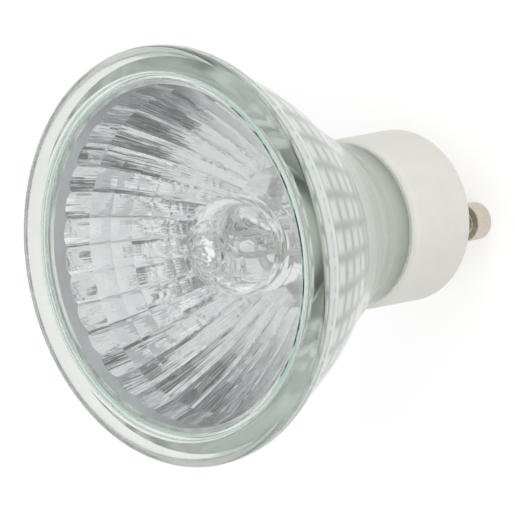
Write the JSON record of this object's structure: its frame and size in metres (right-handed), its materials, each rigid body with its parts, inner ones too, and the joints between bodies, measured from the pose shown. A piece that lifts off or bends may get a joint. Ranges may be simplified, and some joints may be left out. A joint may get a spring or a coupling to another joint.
{
  "type": "gu10 spotlight bulb",
  "caption": "Mains halogen reflector lamp: faceted glass reflector with flat front glass, quartz capsule, ceramic cap and twist-lock contact pins.",
  "frame": {"origin": "on the lamp's axis, level with the ends of the contact pins", "axes": "+Z along the lamp's axis from the pins towards the front glass, +X through the axes of both contact pins"},
  "size_m": [0.0508, 0.0508, 0.054],
  "materials": {
    "reflector_glass": "pressed borosilicate glass, clear, with a faint grey-green tint",
    "mirror_film": "bright coating on the inside of the faceted bowl",
    "cover_glass": "clear polished flat glass with a green-grey edge",
    "quartz": "clear fused quartz with pressing marks at the pinch",
    "ceramic": "satin off-white steatite, unglazed",
    "cement": "matt light grey lamp cement",
    "adhesive": "clear heat-proof adhesive",
    "pin_metal": "nickel-plated, satin, turned",
    "weld_metal": "dull, heat-stained weld",
    "tungsten": "grey drawn tungsten",
    "molybdenum": "thin grey foil, sealed in quartz",
    "nickel_wire": "drawn nickel wire"
  },
  "bodies": {
    "root": {"reflector": "reflector_glass", "cover_glass": "cover_glass", "cover_seal": "adhesive", "ceramic_cap": "ceramic", "cap_cement": "cement", "capsule_cement": "cement", "quartz_capsule": "quartz", "filament": "tungsten", "filament_support": "tungsten", "inner_lead_left": "tungsten", "inner_lead_right": "tungsten", "seal_foil_left": "molybdenum", "seal_foil_right": "molybdenum", "outer_lead_left": "nickel_wire", "outer_lead_right": "nickel_wire", "fuse_wire": "nickel_wire", "contact_pin_left": "pin_metal", "contact_pin_right": "pin_metal", "pin_weld_left": "weld_metal", "pin_weld_right": "weld_metal"}
  },
  "joints": []
}
